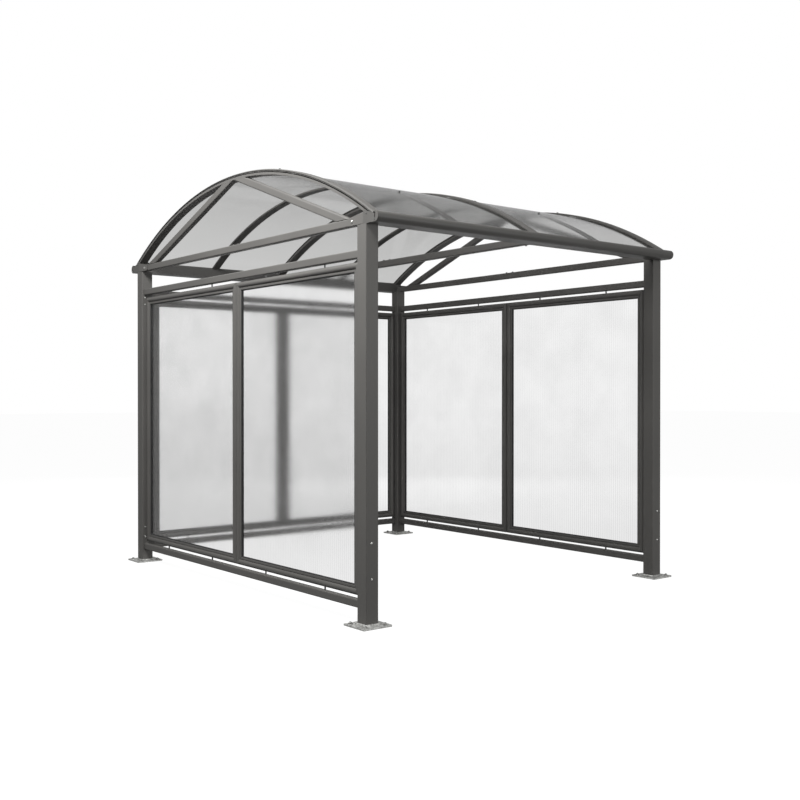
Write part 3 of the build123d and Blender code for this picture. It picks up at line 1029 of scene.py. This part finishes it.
@dataclass
class GlazedWall(Assembly):
    """Sheets, seals and finishes of one glazed wall.

    Args:
        name: Name of the wall.
        run: The direction that it runs in.
        flute_depth: Depth of the shallow flutes between the webs.
        flute_steps: Number of steps across a flute.
        frame_lip: Distance from the sheet's edge to the edge of the frame's opening.
        seal_width: How far a seal stands over the sheet.
        seal_height: How far a seal stands out of the sheet.
        seal_section: A seal's outline, as shares of its width and height.
    """

    name: str
    run: Run
    flute_depth: float = 0.00004
    flute_steps: int = 6
    frame_lip: float = 0.0117
    seal_width: float = 0.0050
    seal_height: float = 0.0075
    seal_section: Rings = ((0.0, 0.0), (1.0, 0.0), (1.0, 0.25), (0.75, 0.7), (0.4, 0.95), (0.0, 1.0))

    def build(self) -> None:
        """Makes both panels of the wall and dresses its frames and spacers."""
        for number in (1, 2):
            self.dress_frame(number)
            self.sheet(number)
            self.seals(number)
        self.paints.dress(f"{self.name}_spacers", DARK_FIXING)

    def dress_frame(self, number: int) -> None:
        """Gives a glazing frame its coat, with the mitre lines at its corners."""
        node = f"{self.name}_frame_{number}"
        low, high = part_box(node)
        mitres = (self.run, tuple(low), tuple(high))
        self.paints.dress(node, PowderCoat(f"{node}_coat", roughness=0.40, edge_radius=0.0009, mitres=mitres))

    def place(self, along: float, across: float, height: float) -> Vector:
        """Returns a point from its place along the wall, across it and its height."""
        if self.run is Run.ALONG_Y:
            return Vector((across, along, height))
        return Vector((along, across, height))

    def sheet(self, number: int) -> None:
        """Makes the sheet of a panel, 1 or 2, whose two faces dip a little between the webs."""
        node = f"{self.name}_pane_{number}"
        low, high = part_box(node)
        along, across = self.run.value, 1 - self.run.value
        bays = max(1, round((high[along] - low[along]) / WEB_PITCH))
        pitch = (high[along] - low[along]) / bays
        steps = self.flute_steps
        maker = MeshMaker(f"{self.name}_fluted_sheet_{number}")
        rows = []
        for level in (low[2], high[2]):
            pairs = []
            for index in range(bays * steps + 1):
                where = low[along] + index * pitch / steps
                dip = self.flute_depth * math.sin(math.pi * (index % steps) / steps)
                faces = (high[across] - dip, low[across] + dip)
                pairs.append(maker.points(self.place(where, face, level) for face in faces))
            rows.append(list(zip(*pairs)))
        (front_low, back_low), (front_high, back_high) = rows
        maker.band(front_low, front_high, ring=False)
        maker.band(back_low, back_high, ring=False)
        for front, back in rows:
            maker.band(front, back, ring=False)
        for end in (0, -1):
            maker.mesh.faces.new((front_low[end], back_low[end], back_high[end], front_high[end]))
        piece = maker.finish(self.paints.get(wall_sheet(self.run)), Slot.WALL_SHEET)
        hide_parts(node)

    def seals(self, number: int) -> None:
        """Makes the rubber seals in a panel's frame, one on each face of the sheet."""
        low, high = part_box(f"{self.name}_pane_{number}")
        along, across = self.run.value, 1 - self.run.value
        left, right = low[along] + self.frame_lip, high[along] - self.frame_lip
        foot, head = low[2] + self.frame_lip, high[2] - self.frame_lip
        maker = MeshMaker(f"{self.name}_seals_{number}")
        for face, way in ((high[across], 1.0), (low[across], -1.0)):
            path = [self.place(x, face, z) for x, z in ((left, foot), (right, foot), (right, head), (left, head))]
            out = self.place(0.0, way, 0.0)
            shares = self.seal_section
            maker.swept_loop(path, [(x * self.seal_width, out * z * self.seal_height) for x, z in shares])
        maker.finish(self.paints.get(SEAL), Slot.FIXINGS)


@dataclass
class BarrelRoof(Assembly):
    """The smoky sheets and the bolts of the cover strips and ribs.

    Args:
        bolt_rows: Distances from the middle where a cover strip is bolted at a gable.
        pair_rows: Distances from the middle where the middle cover strip has two bolts side by side.
        pair_gap: Distance between the two bolts of a pair.
        rib_rows: Distances from the middle where a rib is screwed.
        cover_reach: Distance of a cover strip's lower end from the middle.
        edge_rise: How far a sheet's upper face ends over its lowest edge.
        sheet_radius: Outer radius of the curved sheets.
        sheet_thick: Thickness of the sheets.
        clear_below: Air between a sheet and the arches and ribs under it.
        clear_above: Air between a sheet and the cover strips over it.
        clear_side: Air between a sheet's straight edges and the faces beside them.
        sheet_steps: Number of steps round the curve.
    """

    bolt_rows: tuple[float, ...] = (-1.08, -0.54, 0.0, 0.54, 1.08)
    pair_rows: tuple[float, ...] = (-0.955, 0.0, 0.955)
    pair_gap: float = 0.027
    rib_rows: tuple[float, ...] = (-0.95, 0.0, 0.95)
    cover_reach: float = 1.5531
    edge_rise: float = 0.004
    sheet_radius: float = 2.857
    sheet_thick: float = 0.006
    clear_below: float = 0.0004
    clear_above: float = 0.0008
    clear_side: float = 0.0006
    sheet_steps: int = 160

    def build(self) -> None:
        """Makes the sheets and adds the bolts."""
        for side, _ in SIDES:
            self.curved_sheet(side)
            self.rib_screws(side)
        for row in ROWS:
            self.cover_bolts(row)

    def curved_sheet(self, side: str) -> None:
        """Makes one half's sheet a hair thinner than its place, so that no two faces lie in one."""
        node = f"{side}_roof_sheet"
        low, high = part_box(node)
        centre = high.z - self.sheet_radius
        reach = math.asin(high.y / self.sheet_radius)
        outer = self.sheet_radius - self.clear_above
        inner = self.sheet_radius - self.sheet_thick + self.clear_below
        near, far = low.x + self.clear_side, high.x - self.clear_side
        maker = MeshMaker(f"{side}_curved_sheet")
        rings = []
        for step in range(self.sheet_steps + 1):
            angle = reach * (2.0 * step / self.sheet_steps - 1.0)
            corners = ((inner, near), (outer, near), (outer, far), (inner, far))
            rings.append(
                maker.points((x, out * math.sin(angle), centre + out * math.cos(angle)) for out, x in corners)
            )
        for first, second in zip(rings, rings[1:]):
            maker.band(first, second)
        maker.mesh.faces.new(rings[0])
        maker.mesh.faces.new(rings[-1])
        piece = maker.finish(self.paints.get(SMOKY_SHEET), Slot.ROOF_SHEET)
        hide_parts(node)

    def cover_bolts(self, row: str) -> None:
        """Makes the bolts along a cover strip, in pairs on the middle one."""
        low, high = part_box(f"{row}_cover_strip")
        top = ArcLine(high.z, self.cover_reach, low.z)
        along = (low.x + high.x) / 2.0
        places, rows = (along,), self.bolt_rows
        if row == "middle":
            places = (along - self.pair_gap / 2.0, along + self.pair_gap / 2.0)
            rows = self.pair_rows
        spots = [top.spot(beside, across) for across in rows for beside in places]
        self.heads(f"{row}_cover_bolts", COVER_BOLT, DARK_FIXING, spots)

    def rib_screws(self, side: str) -> None:
        """Makes the screws that hold one half's sheet to its rib."""
        low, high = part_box(f"{side}_roof_sheet")
        rib_low, rib_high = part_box(f"{side}_roof_rib")
        top = ArcLine(high.z, high.y, low.z + self.edge_rise)
        spots = [top.spot((rib_low.x + rib_high.x) / 2.0, across) for across in self.rib_rows]
        self.heads(f"{side}_rib_screws", RIB_SCREW, DARK_FIXING, spots)


@dataclass
class JointFixings(Assembly):
    """Bolts of the gable joints, tie beams and screws of the posts and eave end caps.

    Args:
        plate_bolts: Distance from the middle and height of each bolt of a joint plate.
        post_screws: By end, how far out of a post's middle its screws are, and their heights.
        cap_screws: Distance from the middle and height of each screw of an end cap.
        tie_gap: Distance between the two bolts on top of a tie beam.
        tie_inset: Distance of the bolts under the middle tie beam from its ends.
    """

    plate_bolts: tuple[tuple[float, float], ...] = ((1.366, 2.275),)
    post_screws: tuple[tuple[float, tuple[float, ...]], ...] = (
        (0.005, (0.268, 0.470)),
        (0.018, (0.190, 0.268, 2.000, 2.048)),
    )
    cap_screws: tuple[tuple[float, float], ...] = ((1.500, 2.305), (1.575, 2.264))
    tie_gap: float = 0.070
    tie_inset: float = 0.020

    def build(self) -> None:
        """Makes all the joint fixings."""
        for side, way in SIDES:
            self.gable_bolts(side, way)
            for (end, _), (shift, heights) in zip(ENDS, self.post_screws):
                low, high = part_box(f"{end}_{side}_post")
                x = (low.x + high.x) / 2.0 + way * shift
                spots = [((x, low.y, height), (0.0, -1.0, 0.0)) for height in heights]
                self.heads(f"{end}_{side}_post_screws", POST_SCREW, BRIGHT_FIXING, spots)
        for end, facing_y in ENDS:
            low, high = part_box(f"{end}_eave_end_caps")
            faces = ((low.x, -1.0), (high.x, 1.0))
            spots = [((x, facing_y * y, z), (way, 0.0, 0.0)) for x, way in faces for y, z in self.cap_screws]
            self.heads(f"{end}_cap_screws", CAP_SCREW, DARK_FIXING, spots)
        for row in ROWS:
            self.tie_bolts(row)

    def gable_bolts(self, side: str, way: float) -> None:
        """Makes the bolts on a gable's joint plates, which face the given way along x."""
        low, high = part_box(f"{side}_joint_plates")
        face = low.x if way < 0 else high.x
        spots = [((face, facing_y * y, z), (way, 0.0, 0.0)) for y, z in self.plate_bolts for _, facing_y in ENDS]
        self.heads(f"{side}_plate_bolts", PLATE_BOLT, BRIGHT_FIXING, spots)

    def tie_bolts(self, row: str) -> None:
        """Makes the pair of bolts on top of a tie beam, and the bolts under the ends of the middle one."""
        low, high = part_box(f"{row}_tie_beam")
        x = (low.x + high.x) / 2.0
        spots = [((x, y, high.z), (0.0, 0.0, 1.0)) for y in (-self.tie_gap / 2.0, self.tie_gap / 2.0)]
        if row == "middle":
            ends = (low.y + self.tie_inset, high.y - self.tie_inset)
            spots += [((x, y, low.z), (0.0, 0.0, -1.0)) for y in ends]
        self.heads(f"{row}_tie_bolts", TIE_BOLT, DARK_FIXING, spots)


# ------------ studio


@dataclass(frozen=True)
class Lamp:
    """A soft rectangular lamp that the camera doesn't see.

    Args:
        name: The lamp's name.
        place: Where it hangs.
        target: The point that it faces.
        sides: Its width and height.
        power: Its power in watts.
        mirrored: Whether it shows in reflections.
    """

    name: str
    place: Point
    target: Point
    sides: tuple[float, float]
    power: float
    mirrored: bool = True

    def hang(self) -> None:
        """Adds the lamp to the scene."""
        data = bpy.data.lights.new(self.name, "AREA")
        data.shape = "RECTANGLE"
        data.size, data.size_y = self.sides
        data.energy = self.power
        lamp = link_object(self.name, data)
        turn = (Vector(self.target) - Vector(self.place)).to_track_quat("-Z", "Y").to_matrix().to_4x4()
        lamp.matrix_world = Matrix.Translation(Vector(self.place)) @ turn
        lamp.visible_camera = False
        lamp.visible_transmission = False
        lamp.visible_glossy = self.mirrored


@dataclass
class Studio(Assembly):
    """Plain pale floor, soft light and the camera.

    Args:
        camera_place: Where the camera stands.
        camera_heading: Turn of the camera from +Y towards +X, in degrees.
        camera_dip: How far the camera looks down, in degrees.
        lens: Focal length in millimetres.
        sensor: Width of the sensor in millimetres.
        world_level: Strength of the even light from all round.
        mirror_level: Brightness of the white room in reflections.
        floor_size: Distance from the middle of the floor to its edges.
        lamps: The lamps.
    """

    camera_place: Point = (-4.721, -6.103, 1.307)
    camera_heading: float = 38.457
    camera_dip: float = 0.378
    lens: float = 46.46
    sensor: float = 36.0
    world_level: float = 0.115
    mirror_level: float = 0.45
    floor_size: float = 60.0
    lamps: tuple[Lamp, ...] = (
        Lamp("left_strip", (-3.1, -1.2, 4.3), (-1.2, -0.9, 2.2), (3.4, 1.0), 315.0),
        Lamp("front_softbox", (2.3, -8.4, 2.3), (0.5, -0.6, 1.5), (5.0, 2.2), 265.0),
        Lamp("back_fill", (4.6, 6.4, 3.2), (0.6, 0.8, 1.2), (5.0, 2.6), 280.0, mirrored=False),
    )

    def build(self) -> None:
        """Makes the world, the floor, the lamps and the camera."""
        self.world()
        self.floor()
        for lamp in self.lamps:
            lamp.hang()
        self.camera()
        bpy.context.scene.view_settings.view_transform = "Standard"

    def world(self) -> None:
        """Makes a world that looks white and lights the shelter gently."""
        world = bpy.data.worlds.new("studio")
        bpy.context.scene.world = world
        world.use_nodes = True
        sheet = NodeSheet(world.node_tree)
        sheet.tree.nodes.clear()
        level = sheet.spread(sheet.white_share(self.mirror_level), 0.0, 1.0, self.world_level, 1.0)
        light = sheet.node("ShaderNodeBackground", Color=WHITE, Strength=level)
        sheet.node("ShaderNodeOutputWorld", Surface=light.outputs[0])

    def floor(self) -> None:
        """Makes the floor, which shows white and keeps the shelter's shadow."""
        maker = bmesh.new()
        bmesh.ops.create_grid(maker, x_segments=1, y_segments=1, size=self.floor_size)
        data = bpy.data.meshes.new("floor")
        maker.to_mesh(data)
        maker.free()
        floor = link_object("floor", data)
        data.materials.append(self.paints.get(FloorPaint("studio_floor", self.mirror_level)))

    def camera(self) -> None:
        """Adds the camera and makes it the scene's own."""
        data = bpy.data.cameras.new("camera")
        data.lens = self.lens
        data.sensor_width = self.sensor
        camera = link_object("camera", data)
        camera.location = self.camera_place
        pitch = math.radians(90.0 - self.camera_dip)
        camera.rotation_euler = (pitch, 0.0, -math.radians(self.camera_heading))
        bpy.context.scene.camera = camera


def main() -> None:
    """Builds the looks of the shelter, piece by piece, and the studio round it."""
    logging.basicConfig(level=logging.INFO, format="%(name)s: %(message)s")
    paints = Paintbox()
    CoatedFrame(paints).build()
    BaseAnchors(paints).build()
    GlazedWall(paints, "left_wall", Run.ALONG_Y).build()
    GlazedWall(paints, "right_wall", Run.ALONG_Y).build()
    GlazedWall(paints, "back_wall", Run.ALONG_X).build()
    BarrelRoof(paints).build()
    JointFixings(paints).build()
    Studio(paints).build()


if __name__ == "__main__":
    main()
